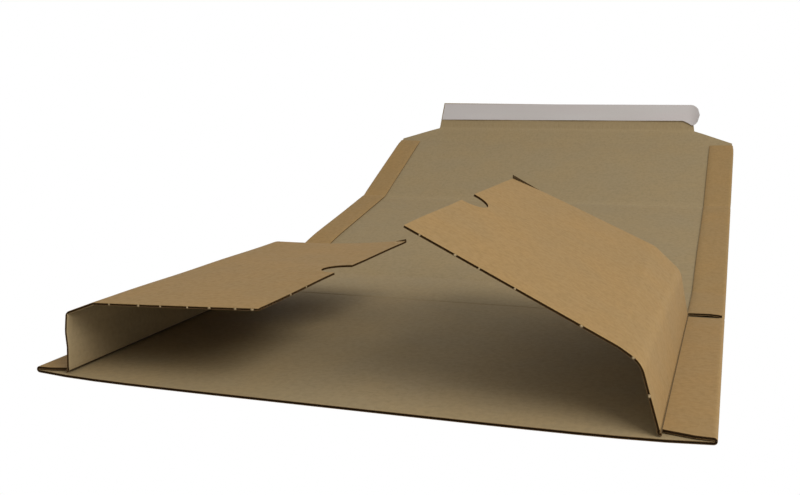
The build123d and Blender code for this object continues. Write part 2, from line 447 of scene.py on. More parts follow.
def raw_edge(name, colour):
    """The cut edge and the flutes inside: darker, rougher, with torn fibre. The core's and the rim's colours
    given to it are darkened as painted shade of the flute channels.
    """
    material, tree, shader = empty_material(name, roughness=0.95, specular=0.1)
    flat = node(tree, "ShaderNodeAttribute", attribute_name="sheet").outputs["Vector"]
    fuzz = noise(tree, flat, *FUZZ)
    dark = shaded(colour, FIBRE_DARK)
    pale = shaded(colour, FIBRE_PALE)
    tone = mixed(tree, ranged(tree, fuzz, *FUZZ_BAND), dark, pale)
    tree.links.new(tone, shader.inputs["Base Color"])
    add_relief(tree, shader, fuzz, strength=0.7, distance=0.12 * MM)
    return material


def release_paper(name):
    """Smooth siliconised paper: a low sheen, a faint grain and soft cockles."""
    material, tree, shader = empty_material(name, roughness=0.42, specular=0.45)
    place = node(tree, "ShaderNodeTexCoord").outputs["Object"]
    grain = noise(tree, place, *GRAIN)
    stain = noise(tree, scaled(tree, place, STAIN_STRETCH), *STAINS)
    shade = shaded(PAPER_WHITE, PAPER_SHADE)
    rosy = shaded(PAPER_WHITE, PAPER_ROSY)
    tone = mixed(tree, ranged(tree, stain, *STAIN_BAND), PAPER_WHITE, rosy)
    tone = mixed(tree, ranged(tree, grain, *GRAIN_BAND), tone, shade)
    tree.links.new(tone, shader.inputs["Base Color"])
    height = math_node(tree, "ADD", grain, math_node(tree, "MULTIPLY", stain, STAIN_RELIEF))
    add_relief(tree, shader, height, strength=0.35, distance=0.05 * MM)
    return material


def hot_melt(name):
    """Pale, slightly clear adhesive with a wet sheen and drawn-out ripples."""
    material, tree, shader = empty_material(name, roughness=0.22, specular=0.5)
    shader.inputs["Subsurface Weight"].default_value = 0.2
    shader.inputs["Subsurface Radius"].default_value = (1.2 * MM, 1.0 * MM, 0.6 * MM)
    place = node(tree, "ShaderNodeTexCoord").outputs["Object"]
    ripple = noise(tree, scaled(tree, place, RIPPLE_STRETCH), *RIPPLES)
    deep = shaded(GLUE_AMBER, GLUE_DEEP)
    tone = mixed(tree, ranged(tree, ripple, *RIPPLE_BAND), GLUE_AMBER, deep)
    tree.links.new(tone, shader.inputs["Base Color"])
    add_relief(tree, shader, ripple, strength=0.5, distance=0.1 * MM)
    return material


INNER_PAPER = kraft("kraft_inner", KRAFT_INNER, 0.55, 0.55)
OUTER_PAPER = kraft("kraft_outer", KRAFT_OUTER, 0.7, 0.6)
# Core and rim: the board's own brown, darkened as painted shade of the flute channels
CORE_AND_SHADE = raw_edge("kraft_core_and_shade", KRAFT_CORE_AND_SHADE)
RIM_AND_SHADE = raw_edge("kraft_rim_and_shade", KRAFT_RIM_AND_SHADE)
NICK_FIBRE = raw_edge("torn_fibre", KRAFT_NICK)
SKINS = (INNER_PAPER, OUTER_PAPER, CORE_AND_SHADE, RIM_AND_SHADE)
INNER_SKIN, OUTER_SKIN, CORE_AND_SHADE_SKIN, RIM_AND_SHADE_SKIN = range(len(SKINS))


# Board: two liners and a fluted medium between them, built from grids

class Middle:
    """A grid on the middle of the board: place, flat-sheet coordinates, wear with painted shade, and squeeze
    at each point.

    Wear below zero is painted shade, a dark crease, slot or turned-up corner, on both faces or on the inner
    one alone.
    """

    def __init__(self, points, across, along, wear_and_shade, squeeze, turn=1, dark_outside=True):
        self.points = points
        self.turn = turn
        self.dark_outside = dark_outside
        self.across = np.broadcast_to(across, points.shape[:2])
        self.along = np.broadcast_to(along, points.shape[:2])
        self.wear_and_shade = np.broadcast_to(wear_and_shade, points.shape[:2])
        self.squeeze = np.broadcast_to(squeeze, points.shape[:2])

    def normals(self):
        """Unit normals towards the inner paper, from the grid's own slopes."""
        by_row = np.gradient(self.points, axis=0)
        by_column = np.gradient(self.points, axis=1)
        normal = np.cross(by_column, by_row)
        return self.turn * normal / np.linalg.norm(normal, axis=2, keepdims=True)


class Build:
    """Vertices, faces and attributes of one mesh, added shell by shell."""

    def __init__(self):
        self.points = []
        self.sheet = []
        self.wear_and_shade = []
        self.quads = []
        self.skins = []
        self.count = 0

    def face(self, middle, normals, offset):
        """One face of a shell, offset from the middle. Returns its vertex numbers as a grid."""
        lift = offset * middle.squeeze
        points = middle.points + normals * lift[..., None]
        self.points.append(points.reshape(-1, 3))
        flat = np.stack([middle.across, middle.along, lift], axis=2)
        self.sheet.append(flat.reshape(-1, 3))
        wear_and_shade = middle.wear_and_shade if middle.dark_outside or offset > 0 else np.maximum(middle.wear_and_shade, 0)
        self.wear_and_shade.append(wear_and_shade.reshape(-1))
        grid = self.count + np.arange(points.shape[0] * points.shape[1]).reshape(points.shape[:2])
        self.count += grid.size
        return grid

    def quad(self, corners, chosen, skin):
        faces = np.stack([corner[chosen] for corner in corners], axis=1)
        self.quads.append(faces)
        self.skins.append(np.full(len(faces), skin))

    def shell(self, middle, normals, low, high, active, skins):
        """A closed skin between two offsets, with a rim wherever the active cells end."""
        top = self.face(middle, normals, high)
        bottom = self.face(middle, normals, low)
        corner = (slice(None, -1), slice(None, -1)), (slice(1, None), slice(None, -1))
        corner += (slice(1, None), slice(1, None)), (slice(None, -1), slice(1, None))
        a, b, c, d = (top[s] for s in corner)
        e, f, g, h = (bottom[s] for s in corner)
        self.quad((a, d, c, b), active, skins[0])
        self.quad((e, f, g, h), active, skins[1])
        padded = np.pad(active, 1)
        sides = (
            (padded[:-2, 1:-1], (a, e, h, d)),
            (padded[2:, 1:-1], (c, g, f, b)),
            (padded[1:-1, :-2], (b, f, e, a)),
            (padded[1:-1, 2:], (d, h, g, c)),
        )
        for beyond, corners in sides:
            self.quad(corners, active & ~beyond, skins[2])

    def mesh_object(self, name, materials):
        """The finished object, with unused vertices dropped."""
        points = np.concatenate(self.points)
        quads = np.concatenate(self.quads)
        used = np.unique(quads)
        renumber = np.zeros(len(points), int)
        renumber[used] = np.arange(len(used))
        mesh = bpy.data.meshes.new(name)
        mesh.from_pydata(points[used].tolist(), [], renumber[quads].tolist())
        for material in materials:
            mesh.materials.append(material)
        mesh.polygons.foreach_set("material_index", np.concatenate(self.skins).astype(np.int32))
        sheet = mesh.attributes.new("sheet", "FLOAT_VECTOR", "POINT")
        sheet.data.foreach_set("vector", np.concatenate(self.sheet)[used].astype(np.float32).ravel())
        wear_and_shade = mesh.attributes.new("wear_and_shade", "FLOAT", "POINT")
        wear_and_shade.data.foreach_set("value", np.concatenate(self.wear_and_shade)[used].astype(np.float32))
        mesh.polygons.foreach_set("use_smooth", np.ones(len(mesh.polygons), bool))
        mesh.set_sharp_from_angle(angle=math.radians(SHARP_ANGLE))
        mesh.update()
        return placed(name, mesh)


def board(name, middle_at, rows, active_at, rim=RIM_AND_SHADE_SKIN):
    """A piece of board: liners on the given rows, and the medium on rows fine enough for its waves."""
    build = Build()
    middle = middle_at(rows)
    normals = middle.normals()
    active = active_at(middle)
    # The liners' inner faces and the medium take the core colour, which is painted shade of the flute
    # channels; the cut edges take the rim skin
    inner_skins = (INNER_SKIN, CORE_AND_SHADE_SKIN, rim)
    outer_skins = (CORE_AND_SHADE_SKIN, OUTER_SKIN, rim)
    build.shell(middle, normals, BOARD / 2 - LINER, BOARD / 2, active, inner_skins)
    build.shell(middle, normals, -BOARD / 2, LINER - BOARD / 2, active, outer_skins)
    steps = max(2, round((rows[-1] - rows[0]) / FLUTE_PITCH * FLUTE_STEPS))
    fine = middle_at(np.linspace(rows[0] + MEDIUM_RECESS, rows[-1] - MEDIUM_RECESS, steps + 1))
    wave = FLUTE_HEIGHT * np.cos(2 * math.pi * (fine.along - rows[0]) / FLUTE_PITCH)
    normals = fine.normals()
    fine.points = fine.points + normals * (wave * fine.squeeze)[..., None]
    build.shell(fine, fine.normals(), -MEDIUM / 2, MEDIUM / 2, active_at(fine), (CORE_AND_SHADE_SKIN,) * 3)
    made = build.mesh_object(name, SKINS)
    if middle.turn < 0:
        made.data.flip_normals()
    return made


def all_cells(middle):
    return np.ones((middle.points.shape[0] - 1, middle.points.shape[1] - 1), bool)


def near(distance, reach):
    """1 at no distance, falling off smoothly over reach."""
    return np.exp(-((distance / reach) ** 2))


def fading(distance, most, reach):
    """The most at no distance, falling off smoothly over reach."""
    return most * near(distance, reach)


def spaced(low, high, step, edge_steps):
    """Rows from low to high about a step apart, with closer ones by both ends."""
    inside = np.linspace(low, high, max(3, round((high - low) / step) + 1))
    close = np.array(edge_steps) * MM
    rows = np.unique(np.concatenate([inside, low + close, high - close]))
    return rows[(rows >= low) & (rows <= high)]


def rounded_line(points, radii, straight_steps, arc_steps=7):
    """A polyline with rounded corners, sampled alike for any points: samples, and how bent each one is."""
    points = [np.array(p, float) for p in points]
    samples = []
    bent = []
    start = points[0]
    for i, radius in enumerate(radii):
        before, corner, after = points[i], points[i + 1], points[i + 2]
        into = (corner - before) / np.linalg.norm(corner - before)
        out = (after - corner) / np.linalg.norm(after - corner)
        turn = math.atan2(into[0] * out[1] - into[1] * out[0], into @ out)
        reach = radius * math.tan(abs(turn) / 2)
        first = corner - into * reach
        for share in np.linspace(0, 1, straight_steps[i] + 1)[:-1]:
            samples.append(start + (first - start) * share)
            bent.append(0.0)
        side = math.copysign(1.0, turn)
        centre = first + side * radius * np.array([-into[1], into[0]])
        spoke = first - centre
        for share in np.linspace(0, 1, arc_steps):
            angle = turn * share
            cos, sin = math.cos(angle), math.sin(angle)
            turned = np.array([spoke[0] * cos - spoke[1] * sin, spoke[0] * sin + spoke[1] * cos])
            samples.append(centre + turned)
            bent.append(abs(turn) * math.sin(math.pi * share))
        start = samples.pop()
        bent.pop()
    for share in np.linspace(0, 1, straight_steps[-1] + 1):
        samples.append(start + (points[-1] - start) * share)
        bent.append(0.0)
    return np.array(samples), np.array(bent)


def lengths(samples):
    """Distance along a sampled line, from its start."""
    steps = np.linalg.norm(np.diff(samples, axis=0), axis=1)
    return np.concatenate([[0.0], np.cumsum(steps)])


# The section across the sheet, with a strip folded back over each side

def section_columns():
    """X and height of the middle of the board, from the left strip's inner edge to the right one's."""
    rise = BOARD / 2 + LOOP_RADIUS
    right = []
    for turn in np.radians(np.linspace(-90, 90, LOOP_COLUMNS)):
        right.append((LOOP_X + LOOP_RADIUS * math.cos(turn), rise + LOOP_RADIUS * math.sin(turn)))
    right += [(LOOP_X - distance * MM, rise + LOOP_RADIUS) for distance in STRIP_COLUMNS]
    right += [(STRIP_INNER + step, rise + LOOP_RADIUS) for step in INNER_STEPS]
    floor = [(x, BOARD / 2) for x in np.linspace(-LOOP_X, LOOP_X, FLOOR_COLUMNS)[1:-1]]
    left = [(-x, z) for x, z in reversed(right)]
    return np.array(left + floor + right)


SECTION = section_columns()
SECTION_ACROSS = lengths(SECTION) - lengths(SECTION)[-1] / 2
ON_FLOOR = np.abs(SECTION_ACROSS) <= LOOP_X + 1e-6
ON_FLOOR_CELL = ON_FLOOR[:-1] & ON_FLOOR[1:]
INNER_COLUMNS = {-1: slice(0, len(INNER_STEPS)), 1: slice(-len(INNER_STEPS), None)}
PAST_SLOT_CELL = (np.abs(SECTION[:-1, 0]) > SLOT_END_X) & (np.abs(SECTION[1:, 0]) > SLOT_END_X)
LOOP_SPAN = math.pi * LOOP_RADIUS
LOOP_SHARE = np.clip((np.abs(SECTION[:, 0]) - LOOP_X) / LOOP_RADIUS, 0, 1)
RAISED_SHARE = np.clip((SECTION[:, 1] - BOARD / 2) / (2 * LOOP_RADIUS), 0, 1)
INWARD_SHARE = np.clip((LOOP_X - np.abs(SECTION[:, 0])) / (LOOP_X - STRIP_INNER), 0, 1)
INWARD_SHARE = INWARD_SHARE * (RAISED_SHARE > 0.5)
PAST_LOOP_SHARE = np.clip(LOOP_EASE * INWARD_SHARE, 0, 1)
END_DISTANCE = SECTION_ACROSS[-1] - np.abs(SECTION_ACROSS)
LOOP_WEAR_REACH = LOOP_SPAN * LOOP_WEAR_SPREAD
LOOP_WEAR = fading(np.abs(SECTION_ACROSS) - LOOP_X - LOOP_SPAN / 2, LOOP_PAPER_WEAR, LOOP_WEAR_REACH)


def root_line(side, rows):
    """X of a wing's root at each row."""
    front, far = (LEFT_FRONT, LEFT_FAR) if side < 0 else (RIGHT_FRONT, RIGHT_FAR)
    share = (rows - WING_FRONT_Y) / (WING_FAR_Y - WING_FRONT_Y)
    return side * (front[0][0] * (1 - share) + far[0][0] * share) * MM


def front_lip(rows):
    """How far a wing's root reaches forward of its plain section at each row."""
    return WING_LIP * ((WING_FAR_Y - rows) / (WING_FAR_Y - WING_FRONT_Y)) ** LIP_POWER


def fold_squeeze(distance):
    """How much of its thickness the board keeps at a distance from the flap's fold line."""
    return 1 - fading(distance, *FOLD_CRUSH) - fading(distance, *FOLD_LINE_CRUSH)


def pocket_middle(rows):
    """The pocket floor: the section run from front to back, its strips ending at the wings' creases."""
    x = np.broadcast_to(SECTION[:, 0], (len(rows), len(SECTION))).copy()
    for side, columns in INNER_COLUMNS.items():
        shift = root_line(side, rows) + side * (STRIP_TO_ROOT - STRIP_INNER)
        x[:, columns] += shift[:, None]
    y = np.broadcast_to(rows[:, None], x.shape).copy()
    z = np.broadcast_to(SECTION[:, 1], x.shape).copy()
    on_strip = ~ON_FLOOR[None, :]
    setback = STRIP_SETBACK * np.clip(1 - (np.abs(x) - STRIP_INNER) / STRIP_SLANT_WIDTH, 0, 1)
    share = np.clip((WING_FAR_Y - y) / (WING_FAR_Y - FRONT_Y), 0, 1)
    y += np.where(on_strip, setback * share**SETBACK_POWER * RAISED_SHARE[None, :], 0)
    lip = FRONT_LIP * (1 - np.clip(np.abs(x) / LOOP_X, 0, 1) ** LIP_CORNER_POWER) * share**LIP_POWER
    y -= np.where(on_strip, 0, lip)
    pressed = fading(FOLD_Y - SLOT_BEFORE - rows, SLOT_PRESS, PRESS_REACH)[:, None]
    z -= pressed * PAST_LOOP_SHARE[None, :]
    ends = np.minimum(rows - FRONT_Y, FOLD_Y - rows)[:, None]
    wear_and_shade = LOOP_WEAR[None, :] + fading(ends, *POCKET_END_WEAR)
    squeeze = fold_squeeze(FOLD_Y - y)
    return Middle(np.stack([x, y, z], axis=2), SECTION_ACROSS, rows[:, None], wear_and_shade, squeeze)


def make_pocket():
    rows = spaced(FRONT_Y, FOLD_Y - SLOT_BEFORE, POCKET_ROW_STEP, POCKET_END_ROWS)
    made = board("pocket_board", pocket_middle, rows, all_cells)
    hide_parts("base_panel")
    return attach(made, "pocket")


# Wings

def wing_lines(side, front, far, radii, steps):
    """The wing's section at its front and far ends, sampled alike, in metres."""
    lines = []
    for points in (front, far):
        samples, bent = rounded_line([(side * x, z) for x, z in points], radii, steps)
        lines.append(samples * MM)
    return lines[0], lines[1], bent


def wing_maker(side, front, far, radii, steps, ear, lowered):
    """Returns the function that lays a wing's grid on given rows."""
    front_line, far_line, bent = wing_lines(side, front, far, radii, steps)
    last = steps[-1]
    crown = len(front_line) - last - 1
    width = np.linalg.norm(front_line[-1] - front_line[crown])

    def middle_at(rows):
        share = ((rows - WING_FRONT_Y) / (WING_FAR_Y - WING_FRONT_Y))[:, None, None]
        line = front_line[None] * (1 - share) + far_line[None] * share
        gap = np.clip(1 - ((rows - NOTCH_Y) / NOTCH_RADIUS) ** 2, 0, 1)
        keep = 1 - NOTCH_RADIUS * np.sqrt(gap) / width
        part = np.linspace(0, 1, last + 1)
        part = 1 - (1 - part) ** COLUMN_CROWDING
        start = line[:, crown : crown + 1]
        reach = line[:, -1:] - start
        line[:, crown:] = start + reach * part[None, :, None] * keep[:, None, None]
        along = np.broadcast_to(rows[:, None], line.shape[:2]).copy()
        steps_across = np.linalg.norm(np.diff(line, axis=1), axis=2)
        across = np.concatenate([np.zeros((len(rows), 1)), np.cumsum(steps_across, axis=1)], axis=1)
        points = np.stack([line[..., 0], along, line[..., 1]], axis=2)
        points[..., 2] += panel_waves(across, rows[:, None], side)
        points[:, crown:, 2] -= lowered(part[None, :], share[:, 0])
        points[..., 1] -= front_lip(rows)[:, None] * np.clip(1 - across / WING_LIP_CLIMB, 0, 1)
        turned = curl_corner(points, across, *ear)
        edge = np.minimum(along - WING_FRONT_Y, WING_FAR_Y - along)
        free = across[:, -1:] - across
        wear_and_shade = WING_BEND_WEAR * bent[None, :] + fading(edge, *WING_END_WEAR) + fading(free, *WING_FREE_WEAR)
        # The turned-up corner's face takes painted shade in place of wear
        wear_and_shade = np.clip(wear_and_shade, 0, 1) * (1 - turned) - turned
        squeeze = 1 - WING_BEND_CRUSH * np.minimum(bent, 1.0)[None, :] - fading(edge, *WING_END_CRUSH)
        squeeze = squeeze - fading(free, *WING_FREE_CRUSH)
        return Middle(points, across * side, along, wear_and_shade, squeeze, side)

    return middle_at


def panel_waves(across, along, side):
    """The slight unevenness of a bent panel, none at its root."""
    grow = np.clip(across / WAVE_GROWTH, 0, 1)
    slow = np.sin(along * SLOW_ALONG + side) * np.cos(across * SLOW_ACROSS + SLOW_PHASE)
    quick = QUICK_SHARE * np.sin(along * QUICK_ALONG + across * QUICK_ACROSS + 2 * side)
    return WAVE_HEIGHT * grow * (slow + quick)


def curl_corner(points, across, height, reach, degrees):
    """Turns up the far edge towards the free corner, as a handled corner does. Returns the turned share,
    which darkens the ear's face as painted shade.
    """
    free = across[:, -1:] - across
    strength = np.clip(1 - free / reach, 0, 1)
    excess = np.clip(points[..., 1] - (WING_FAR_Y - height * strength), 0, None)
    angle = math.radians(degrees)
    points[..., 1] -= excess * (1 - math.cos(angle))
    points[..., 2] += excess * math.sin(angle)
    return np.clip(excess / EAR_SHADE_REACH, 0, 1)


def left_sag(part, share):
    """How far the middle of the left panel sinks towards its far edge."""
    return LEFT_FAR_SAG * np.sin(math.pi * part) * share**2


def right_droop(part, share):
    """How far the right panel sinks towards its far free corner, below the turned-up edge."""
    return RIGHT_CORNER_DROOP * part * share**RIGHT_DROOP_POWER


def wing_rows():
    """Rows along a wing, close together round the thumb notch and at both ends."""
    arc = NOTCH_Y + NOTCH_RADIUS * np.sin(np.radians(np.linspace(-90, 90, NOTCH_ROWS)))
    ends = spaced(WING_FRONT_Y, WING_FAR_Y, WING_ROW_STEP, WING_END_ROWS)
    outside = ends[np.abs(ends - NOTCH_Y) > NOTCH_RADIUS + NOTCH_CLEARANCE]
    return np.unique(np.concatenate([outside, arc]))


def make_wing(name, node_name, body, maker):
    made = board(name, maker, wing_rows(), all_cells)
    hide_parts(node_name)
    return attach(made, body)


# Closing flap

def risen(start, length, angle):
    """The end of a stretch that covers a length along the ground and rises at an angle."""
    return start[0] + length, start[1] + length * math.tan(math.radians(angle))


def flap_path():
    """The underside's line from the fold to the tip of the tongue, its stops in Y, and the tongue's root."""
    lift = (FLAP_FLAT, 0.0)
    sag = risen(lift, LIFT_LENGTH, LIFT_RISE)
    crease = risen(sag, FLAP_TO_CREASE, FLAP_RISE)
    bend = risen(crease, CREASE_TO_BEND, END_RISE)
    root = risen(bend, BEND_TO_TONGUE, TIP_RISE)
    tongue = math.radians(TONGUE_RISE)
    tip = (root[0] + TONGUE_LENGTH * math.cos(tongue), root[1] + TONGUE_LENGTH * math.sin(tongue))
    stops = [(0.0, 0.0), lift, sag, crease, bend, root, tip]
    samples = rounded_line(stops, FLAP_RADII, FLAP_STEPS, FLAP_ARC_STEPS)[0] * MM
    samples[:, 0] += FOLD_Y
    return samples, FOLD_Y + np.array(stops)[:, 0] * MM, root[1] * MM


FLAP_LINE, FLAP_STOPS, TONGUE_ROOT_Z = flap_path()
FLAP_ALONG = lengths(FLAP_LINE)
TONGUE_ROOT_Y = float(FLAP_STOPS[5])
TONGUE_UP = np.array([0.0, math.cos(math.radians(TONGUE_RISE)), math.sin(math.radians(TONGUE_RISE))])


def along_at(y):
    """Distance along the flap at a place on the ground."""
    return float(np.interp(y, FLAP_LINE[:, 0], FLAP_ALONG))


CREASE_ALONG = along_at(FLAP_STOPS[3])
STRIP_END_ALONG = along_at(FLAP_STOPS[4] - STRIP_END_BEFORE_BEND)
TAPER_ALONG = along_at(TONGUE_ROOT_Y - TAPER_LENGTH)
TONGUE_ALONG = along_at(TONGUE_ROOT_Y - TONGUE_ROOT_EASE)
TIP_ALONG = float(FLAP_ALONG[-1])


def flap_half_width(along):
    """Half of the sheet's width, past the ends of the strips."""
    tapered = np.clip((along - TAPER_ALONG) / (TONGUE_ALONG - TAPER_ALONG), 0, 1)
    leaning = np.clip((along - TONGUE_ALONG) / (TIP_ALONG - TONGUE_ALONG), 0, 1)
    return LOOP_X + (TONGUE_HALF - LOOP_X) * tapered + (TONGUE_HALF_TOP - TONGUE_HALF) * leaning


def tongue_shortfall(x, climb):
    """The tongue is a little lower towards its right-hand end."""
    return TONGUE_LEAN * climb * (x / TONGUE_HALF + 1) / 2


def strip_settling(rows):
    """How far the folded-back strips lie below the plain section. Pressed at the ends, sprung by the slot."""
    flattened = (STRIP_FLATTENING * INWARD_SHARE + fading(END_DISTANCE, *STRIP_END_DROP))[None, :]
    pressed = fading(STRIP_END_ALONG - rows, STRIP_TIP_PRESS, PRESS_REACH)[:, None]
    sprung = fading(rows - SLOT_AFTER, *SLOT_SPRING)[:, None] * PAST_LOOP_SHARE[None, :]
    return (flattened + pressed - sprung) * RAISED_SHARE[None, :]


def flap_middle(rows):
    """The flap: the section carried along the rise, narrowed past the taper's start and a little twisted."""
    y = np.interp(rows, FLAP_ALONG, FLAP_LINE[:, 0])
    z = np.interp(rows, FLAP_ALONG, FLAP_LINE[:, 1])
    slope_y = np.gradient(y, rows)
    slope_z = np.gradient(z, rows)
    size = np.hypot(slope_y, slope_z)
    up_y, up_z = -slope_z / size, slope_y / size
    x = np.broadcast_to(SECTION[:, 0], (len(rows), len(SECTION))).copy()
    height = SECTION[None, :, 1] - strip_settling(rows)
    pressed_in = fading(STRIP_END_ALONG - rows, LOOP_PRESS, PRESS_REACH)[:, None]
    x -= np.sign(x) * pressed_in * LOOP_SHARE[None, :]
    past = rows[:, None] > STRIP_END_ALONG
    x = np.where(past & ON_FLOOR[None, :], x / LOOP_X * flap_half_width(rows)[:, None], x)
    points = np.stack([x, y[:, None] + up_y[:, None] * height, z[:, None] + up_z[:, None] * height], axis=2)
    across = np.where(past, x, SECTION_ACROSS[None, :])
    lifted = np.clip(rows - FLAP_FLAT * MM, 0, None)
    grow = np.clip(lifted / FLAP_WAVE_GROWTH, 0, 1) * np.clip((TAPER_ALONG - rows) / FLAP_WAVE_END, 0, 1)
    waves = FLAP_WAVE_HEIGHT * np.sin(rows * FLAP_WAVE_ALONG)[:, None] * grow[:, None]
    waves = waves * np.cos(x * FLAP_WAVE_ACROSS + FLAP_WAVE_PHASE)
    twist = FLAP_TWIST * (lifted / (TIP_ALONG - FLAP_FLAT * MM)) ** 2
    points[..., 2] += waves - x / HALF_WIDTH * twist[:, None]
    ends = np.minimum(rows, TIP_ALONG - rows)[:, None]
    sharp = fading(rows - CREASE_ALONG, *FLAP_CREASE_WEAR)
    sharp = sharp + fading(rows - TONGUE_ALONG - TONGUE_WEAR_START, *TONGUE_WEAR)
    wear_and_shade = LOOP_WEAR[None, :] + fading(ends, *FLAP_END_WEAR) + sharp[:, None]
    squeeze = 1 - fading(rows - CREASE_ALONG, *FLAP_CREASE_CRUSH) - fading(rows - TONGUE_ALONG, *TONGUE_CRUSH)
    squeeze = squeeze * fold_squeeze(rows) - fading(TIP_ALONG - rows, *TIP_CRUSH)
    squeeze = squeeze[:, None] - fading(END_DISTANCE, *STRIP_END_CRUSH)[None, :]
    climb = np.clip(rows - TONGUE_ALONG - TONGUE_LEAN_START, 0, None)[:, None]
    points -= tongue_shortfall(x, climb)[..., None] * TONGUE_UP
    return Middle(points, across, rows[:, None], np.clip(wear_and_shade, 0, 1), squeeze)


def flap_cells(middle):
    """The floor layer everywhere, and the strips up to where they end."""
    centre = (middle.along[1:, :-1] + middle.along[:-1, :-1]) / 2
    return (centre < STRIP_END_ALONG) | ON_FLOOR_CELL[None, :]


def flap_rows():
    bends = FLAP_ALONG[FLAP_ALONG > SLOT_AFTER]
    close = [SLOT_AFTER + distance * MM for distance in SLOT_ROWS]
    strip_end = [STRIP_END_ALONG + distance * MM for distance in STRIP_END_ROWS]
    taper = [TAPER_ALONG + distance * MM for distance in TAPER_ROWS]
    tip = [TIP_ALONG - distance * MM for distance in TIP_ROWS]
    return np.unique(np.concatenate([bends, close, strip_end, taper, tip]))


def make_flap():
    made = board("closing_flap_board", flap_middle, flap_rows(), flap_cells, rim=OUTER_SKIN)
    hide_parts("closing_flap")
    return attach(made, "flap")


# Creases that cross the joints

def wing_crease_middle(side):
    """The strip's inner end turning up into a wing, as a grid maker."""
    strip_z = (DOUBLE_EDGE - BOARD / 2) / MM
    stops = [(side * STRIP_TO_ROOT / MM, strip_z), (0.0, strip_z), (0.0, WING_ROOT_Z / MM)]
    line, bent = rounded_line(stops, (CREASE_RADIUS,), CREASE_STEPS, CREASE_ARC_STEPS)
    line = line * MM
    across = lengths(line)
    folded = np.minimum(bent, 1.0)
    # Painted shade along the root crease: full at the bend, most of it on the strip's leg, carried below zero
    # with the wear
    shade = folded.copy()
    shade[: CREASE_STEPS[0]] = CREASE_LEG_SHADE

    def middle_at(rows):
        x = line[None, :, 0] + root_line(side, rows)[:, None]
        y = np.broadcast_to((rows - front_lip(rows))[:, None], x.shape)
        z = np.broadcast_to(line[:, 1], x.shape)
        points = np.stack([x, y, z], axis=2)
        squeeze = (1 - WING_CREASE_CRUSH * folded)[None, :]
        return Middle(points, across * side, rows[:, None], -shade[None, :], squeeze, side)

    return middle_at


def make_wing_crease(side, name):
    rows = spaced(WING_FRONT_Y, WING_FAR_Y, CREASE_ROW_STEP, CREASE_END_ROWS)
    made = board(name, wing_crease_middle(side), rows, all_cells)
    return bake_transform(made)


def fold_middle(rows):
    """The fold line between pocket and flap: the section once more, creased to half its thickness."""
    x = np.broadcast_to(SECTION[:, 0], (len(rows), len(SECTION)))
    y = np.broadcast_to(rows[:, None], x.shape)
    z = np.broadcast_to(SECTION[:, 1], x.shape).copy()
    depth = near(rows - FOLD_Y, FOLD_LINE)[:, None]
    z -= FOLD_SINK * depth
    pinched = np.clip((z - BOARD / 2) / (2 * LOOP_RADIUS), 0, 1)
    z -= FOLD_PINCH * depth * pinched
    wear_and_shade = fading(rows - FOLD_Y, *FOLD_WEAR)[:, None] + LOOP_WEAR[None, :]
    # The floor under the slots is darkened as painted shade, on the inner face only
    in_slot = ON_FLOOR & (np.abs(SECTION[:, 0]) > STRIP_INNER)
    wear_and_shade = np.where(in_slot[None, :], -1, np.clip(wear_and_shade, 0, 1))
    squeeze = fold_squeeze(rows - FOLD_Y)[:, None]
    points = np.stack([x, y, z], axis=2)
    return Middle(points, SECTION_ACROSS, rows[:, None], wear_and_shade, squeeze, dark_outside=False)


def fold_cells(middle):
    """Everything but the slots, which part the strips at the fold line."""
    wide = ON_FLOOR_CELL[None, :] | PAST_SLOT_CELL[None, :]
    return np.broadcast_to(wide, (middle.points.shape[0] - 1, middle.points.shape[1] - 1))


def make_fold():
    rows = np.linspace(FOLD_Y - SLOT_BEFORE, FOLD_Y + SLOT_AFTER, FOLD_ROWS)
    made = board("flap_crease", fold_middle, rows, fold_cells)
    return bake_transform(made)


# Torn nicks

def tuft(points, faces, centre, along, across, through, random):
    """One torn nick: a small ragged lump of fibre on a cut edge."""
    first = len(points)
    size = NICK_SMALLEST + NICK_SPREAD * random.random()
    for ring in range(NICK_RINGS + 1):
        lean = math.pi * ring / NICK_RINGS
        for spoke in range(NICK_SPOKES):
            turn = 2 * math.pi * spoke / NICK_SPOKES
            wobble = 1 + NICK_WOBBLE * (random.random() - 0.5)
            place = (
                Vector(centre)
                + along * (math.cos(lean) * NICK_WIDTH / 2 * size * wobble)
                + through * (math.sin(lean) * math.cos(turn) * BOARD * NICK_BOARD_SHARE * wobble)
                + across * (math.sin(lean) * math.sin(turn) * NICK_DEPTH * wobble)
            )
            points.append(place)
    for ring in range(NICK_RINGS):
        for spoke in range(NICK_SPOKES):
            a = first + ring * NICK_SPOKES + spoke
            b = first + ring * NICK_SPOKES + (spoke + 1) % NICK_SPOKES
            faces.append((a, b, b + NICK_SPOKES, a + NICK_SPOKES))
    last = first + NICK_RINGS * NICK_SPOKES
    faces.append(tuple(first + spoke for spoke in reversed(range(NICK_SPOKES))))
    faces.append(tuple(last + spoke for spoke in range(NICK_SPOKES)))


def make_nicks(name, body, spots):
    """Tufts at the given places, each with the directions along, out of and through its edge."""
    random = np.random.RandomState(NICK_SEED)
    points = []
    faces = []
    for centre, along, out, through in spots:
        tuft(points, faces, centre, Vector(along), Vector(out), Vector(through), random)
    mesh = bpy.data.meshes.new(name)
    mesh.from_pydata([tuple(p) for p in points], [], faces)
    mesh.materials.append(NICK_FIBRE)
    mesh.polygons.foreach_set("use_smooth", np.ones(len(mesh.polygons), bool))
    flat = mesh.attributes.new("sheet", "FLOAT_VECTOR", "POINT")
    flat.data.foreach_set("vector", np.array([tuple(p) for p in points], np.float32).ravel())
    made = placed(name, mesh)
    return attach(made, body)


